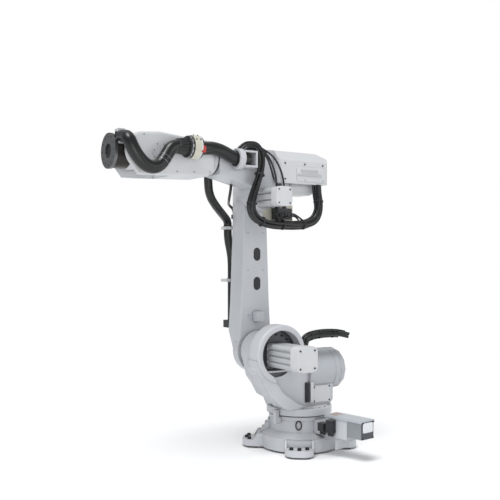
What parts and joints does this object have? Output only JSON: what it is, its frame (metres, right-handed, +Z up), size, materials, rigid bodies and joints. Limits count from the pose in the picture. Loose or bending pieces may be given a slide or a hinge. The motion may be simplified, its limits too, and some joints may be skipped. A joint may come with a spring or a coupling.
{
  "type": "six-axis industrial robot arm",
  "caption": "Large white six-axis industrial robot arm with four-footed base, balancing cylinder, cable harness and process hose.",
  "frame": {"origin": "on the floor, on axis 1, at the middle of the four feet", "axes": "+X along the upper arm and out of the tool flange at rest, +Y to the side of the axis 2 motor, +Z up along axis 1"},
  "size_m": [2.0826, 1.1402, 2.4129],
  "materials": {
    "white_paint": "satin paint",
    "white_cover": "satin",
    "motor_paint": "satin paint",
    "black_plastic": "matte",
    "black_rubber": "matte",
    "box_steel": "brushed",
    "cream_plastic": "satin",
    "dark_casting": "oily",
    "flange_steel": "machined"
  },
  "bodies": {
    "base": {"base_casting": "white_paint", "foot_pads": "black_plastic", "box_neck": "white_paint", "connection_box": "box_steel", "connection_box_lid": "box_steel", "box_end_cover": "box_steel", "box_bracket": "white_paint", "base_connectors": "black_plastic", "axis1_stop": "white_paint"},
    "turret": {"turret_casting": "white_paint", "turret_panel": "white_paint", "axis2_gearbox": "motor_paint", "axis2_motor": "motor_paint", "axis2_motor_cap": "white_cover", "balancing_cylinder": "white_paint", "balancing_cap": "white_paint", "axis1_motor": "motor_paint", "brake_release_column": "black_plastic", "brake_release_guard": "box_steel", "turret_side_cover": "white_paint", "cable_gland": "black_plastic", "pigtail_bundle": "black_rubber"},
    "lower_arm": {"lower_arm_casting": "white_paint", "arm_outer_cover": "white_paint", "axis2_stop_block": "white_paint", "hose_brackets": "white_paint", "hose_gland": "white_paint", "lower_hose": "black_rubber", "arm_cable_gland": "black_rubber"},
    "upper_arm": {"upper_arm_casting": "white_paint", "elbow_hose_bracket": "white_paint", "elbow_hoses": "black_rubber", "hose_collar": "white_paint", "axis3_motor": "motor_paint", "axis3_motor_cap": "white_cover", "rear_cover": "white_cover", "rear_motor_housing": "white_paint", "elbow_harness": "black_rubber", "harness_plate": "cream_plastic", "connector_block": "black_plastic", "process_hose_rear": "black_rubber"},
    "forearm": {"forearm_casting": "white_paint", "near_side_shell": "white_paint", "far_side_shell": "white_paint", "clamp_bracket": "white_paint", "hose_clamp": "cream_plastic", "clamp_rings": "black_rubber", "clamped_hose": "black_rubber", "process_hose_front": "black_rubber"},
    "wrist": {"wrist_casting": "white_paint", "axis6_unit": "dark_casting", "wrist_bracket": "white_paint"},
    "tool_flange": {"tool_flange": "flange_steel"}
  },
  "joints": [
    {"name": "axis1", "type": "hinge", "parent": "base", "child": "turret", "pos_m": [0, 0, 0.284], "axis": [0, 0, 1], "range_deg": [-252, 88]},
    {"name": "axis2", "type": "hinge", "parent": "turret", "child": "lower_arm", "pos_m": [0.32, -0.14, 0.78], "axis": [0, 1, 0], "range_deg": [-65, 85]},
    {"name": "axis3", "type": "hinge", "parent": "lower_arm", "child": "upper_arm", "pos_m": [0.32, -0.15, 2.06], "axis": [0, -1, 0], "range_deg": [-70, 180], "deforming": ["elbow_hoses"]},
    {"name": "axis4", "type": "hinge", "parent": "upper_arm", "child": "forearm", "pos_m": [0.8295, 0, 2.26], "axis": [1, 0, 0], "range_deg": [-300, 300], "deforming": ["process_hose_rear"]},
    {"name": "axis5", "type": "hinge", "parent": "forearm", "child": "wrist", "pos_m": [1.4625, 0, 2.26], "axis": [0, -1, 0], "range_deg": [-120, 120], "deforming": ["process_hose_front"]},
    {"name": "axis6", "type": "hinge", "parent": "wrist", "child": "tool_flange", "pos_m": [1.637, 0, 2.26], "axis": [1, 0, 0], "range_deg": [-300, 300]}
  ]
}
